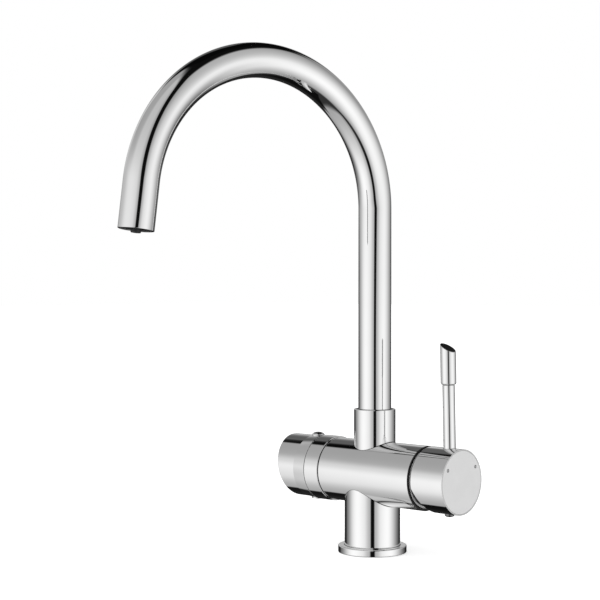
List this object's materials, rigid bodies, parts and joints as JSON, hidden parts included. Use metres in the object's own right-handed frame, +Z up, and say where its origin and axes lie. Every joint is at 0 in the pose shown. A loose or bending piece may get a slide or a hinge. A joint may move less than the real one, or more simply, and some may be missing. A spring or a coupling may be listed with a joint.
{
  "type": "three way filtered water tap",
  "caption": "Tall swan-neck kitchen tap with a side lever mixer, a filtered water knob on the opposite end and a swivelling spout that carries both waters apart.",
  "frame": {"origin": "centre of the foot's underside, on the worktop", "axes": "+Z up; the cross body runs along X, with the mixer handle on +X and the filter knob on -X; the spout reaches over the sink, which is on -Y, and rests turned 9.6 degrees from -Y towards -X"},
  "size_m": [0.1661, 0.2449, 0.3754],
  "materials": {
    "chrome": "polished",
    "satin_chrome": "satin",
    "brass": "satin",
    "steel": "satin",
    "rubber": "matte",
    "white_plastic": "satin",
    "black_plastic": "satin",
    "ceramic": "satin",
    "grey_marking": "satin"
  },
  "bodies": {
    "tap_body": {"base_flange": "chrome", "base_seal": "rubber", "inlet_manifold": "brass", "manifold_oring": "rubber", "manifold_screw": "steel", "main_body": "chrome", "mixer_cartridge_base": "white_plastic", "cartridge_seal_hot": "rubber", "cartridge_seal_cold": "rubber", "cartridge_seal_outlet": "rubber", "mixer_fixed_disc": "ceramic", "mixer_cartridge_housing": "black_plastic", "cartridge_nut": "brass", "cartridge_cover": "black_plastic", "filter_seat_seal": "rubber", "filter_fixed_disc": "ceramic", "filter_valve_body": "brass", "filter_trim_ring": "chrome", "spout_retaining_clip": "steel", "spout_glide_ring": "black_plastic"},
    "mixer_rotor_group": {"mixer_rotor": "white_plastic", "mixer_pivot_pin": "steel"},
    "mixer_disc_group": {"mixer_moving_disc": "ceramic", "disc_carrier": "white_plastic"},
    "mixer_handle_group": {"mixer_spindle": "brass", "mixer_handle": "chrome", "handle_face_disc": "satin_chrome", "left_dot": "grey_marking", "right_dot": "grey_marking", "handle_grub_screw": "steel", "handle_screw_plug": "chrome", "lever_rod": "chrome", "lever_grip": "chrome"},
    "filter_knob_group": {"filter_knob": "chrome", "knob_grub_screw": "steel", "filter_spindle": "brass", "filter_spindle_oring": "rubber", "filter_spindle_clip": "steel", "filter_moving_disc": "ceramic"},
    "spout_group": {"spout_tube": "chrome", "filtered_water_tube": "white_plastic", "filtered_tube_oring": "rubber", "spout_connector": "brass", "spout_oring_lower": "rubber", "spout_oring_upper": "rubber", "aerator_housing": "black_plastic", "aerator_screen": "steel", "filtered_water_nozzle": "black_plastic"}
  },
  "joints": [
    {"name": "spout_swivel", "type": "hinge", "parent": "tap_body", "child": "spout_group", "pos_m": [0.0023, 0, 0.1086], "axis": [0, 0, 1], "continuous": true},
    {"name": "mixer_temperature", "type": "hinge", "parent": "tap_body", "child": "mixer_rotor_group", "pos_m": [0.038, 0, 0.0602], "axis": [1, 0, 0], "range_deg": [-50, 50]},
    {"name": "mixer_flow", "type": "hinge", "parent": "mixer_rotor_group", "child": "mixer_handle_group", "pos_m": [0.038, 0, 0.0602], "axis": [0, 1, 0], "range_deg": [0, 22]},
    {"name": "mixer_disc_slide", "type": "slide", "parent": "mixer_rotor_group", "child": "mixer_disc_group", "axis": [0, 0, 1], "range_m": [0, 0.0034]},
    {"name": "filter_turn", "type": "hinge", "parent": "tap_body", "child": "filter_knob_group", "pos_m": [-0.05, 0, 0.0602], "axis": [1, 0, 0], "range_deg": [0, 90]}
  ],
  "couplings": [
    {"joint": "mixer_disc_slide", "follows": "mixer_flow", "m_per_rad": 0.00839}
  ]
}
